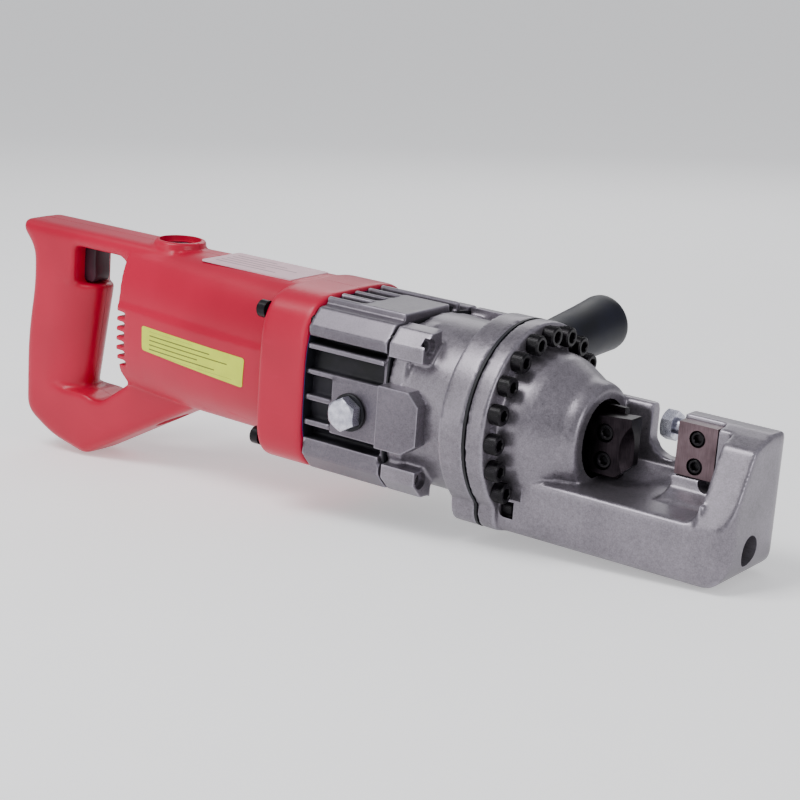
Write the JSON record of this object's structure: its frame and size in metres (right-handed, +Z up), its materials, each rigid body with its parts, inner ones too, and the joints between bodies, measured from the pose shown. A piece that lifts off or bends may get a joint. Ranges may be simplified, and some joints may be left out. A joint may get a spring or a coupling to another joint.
{
  "type": "rebar cutter",
  "caption": "Hand-held electric-hydraulic rebar cutter with a C-shaped cutting head, bolted cylinder, finned pump case and red D-handle motor housing",
  "frame": {"origin": "middle of the flat underside of the cutting head", "axes": "+X along the tool axis from the handle to the cutting head, +Y to the side that carries the side grip, +Z up"},
  "size_m": [0.4609, 0.1857, 0.1316],
  "materials": {
    "cast_steel": "shot-blasted grey casting, clear coated",
    "cast_aluminium": "die-cast, satin",
    "red_plastic": "satin moulded",
    "black_oxide_steel": "black oxide",
    "tool_steel": "ground and burnished",
    "zinc_plated_steel": "bright zinc",
    "black_rubber": "satin",
    "black_plastic": "matt",
    "ground_steel": "ground",
    "motor_laminations": "varnished",
    "carbon": "dull"
  },
  "bodies": {
    "tool_body": {"cutting_head": "cast_steel", "cylinder_body": "cast_steel", "pump_case": "cast_aluminium", "housing_left": "red_plastic", "housing_right": "red_plastic", "head_bolt_01": "black_oxide_steel", "head_bolt_02": "black_oxide_steel", "head_bolt_03": "black_oxide_steel", "head_bolt_04": "black_oxide_steel", "head_bolt_05": "black_oxide_steel", "head_bolt_06": "black_oxide_steel", "head_bolt_07": "black_oxide_steel", "head_bolt_08": "black_oxide_steel", "head_bolt_09": "black_oxide_steel", "head_bolt_10": "black_oxide_steel", "head_bolt_11": "black_oxide_steel", "head_bolt_12": "black_oxide_steel", "head_bolt_13": "black_oxide_steel", "head_bolt_14": "black_oxide_steel", "head_bolt_15": "black_oxide_steel", "head_bolt_16": "black_oxide_steel", "head_bolt_17": "black_oxide_steel", "case_screw_1": "black_oxide_steel", "case_screw_2": "black_oxide_steel", "case_screw_3": "black_oxide_steel", "case_screw_4": "black_oxide_steel", "fixed_cutter_screw_1": "black_oxide_steel", "fixed_cutter_screw_2": "black_oxide_steel", "arm_plug": "black_oxide_steel", "grip_stud": "black_oxide_steel", "fixed_cutter": "tool_steel", "stopper_nut": "zinc_plated_steel", "oil_plug": "zinc_plated_steel", "head_gasket": "black_rubber", "case_gasket": "black_rubber", "plug_washer": "black_rubber", "oil_bladder": "black_rubber", "cord_gland": "black_rubber", "side_grip": "black_rubber", "switch_body": "black_plastic", "brush_cap_top": "black_plastic", "brush_cap_bottom": "black_plastic", "return_spring": "ground_steel", "plunger": "ground_steel", "rear_bearing": "ground_steel", "front_bearing": "ground_steel", "stator": "motor_laminations", "carbon_brush_top": "carbon", "carbon_brush_bottom": "carbon"},
    "ram": {"piston": "ground_steel", "piston_seal": "black_rubber", "moving_cutter": "tool_steel", "moving_cutter_screw_1": "black_oxide_steel", "moving_cutter_screw_2": "black_oxide_steel"},
    "trigger_key": {"trigger": "black_plastic"},
    "rotor": {"armature": "ground_steel", "cooling_fan": "black_plastic"},
    "cam": {"eccentric_shaft": "ground_steel", "drive_gear": "ground_steel"},
    "stopper": {"stopper_bolt": "zinc_plated_steel"}
  },
  "joints": [
    {"name": "piston_stroke", "type": "slide", "parent": "tool_body", "child": "ram", "axis": [1, 0, 0], "range_m": [0, 0.0205], "stiffness_N_per_m": 3000, "springref_m": -0.01, "deforming": ["return_spring"]},
    {"name": "trigger_squeeze", "type": "slide", "parent": "tool_body", "child": "trigger_key", "axis": [-1, 0, 0], "range_m": [0, 0.006], "stiffness_N_per_m": 600, "springref_m": -0.002},
    {"name": "rotor_spin", "type": "hinge", "parent": "tool_body", "child": "rotor", "pos_m": [-0.222, 0, 0.058], "axis": [1, 0, 0], "continuous": true},
    {"name": "cam_spin", "type": "hinge", "parent": "tool_body", "child": "cam", "pos_m": [-0.142, 0, 0.0355], "axis": [1, 0, 0], "continuous": true},
    {"name": "stopper_adjust", "type": "slide", "parent": "tool_body", "child": "stopper", "axis": [1, 0, 0], "range_m": [-0.0015, 0.004]}
  ],
  "couplings": [
    {"joint": "cam_spin", "follows": "rotor_spin", "ratio": -0.25}
  ]
}
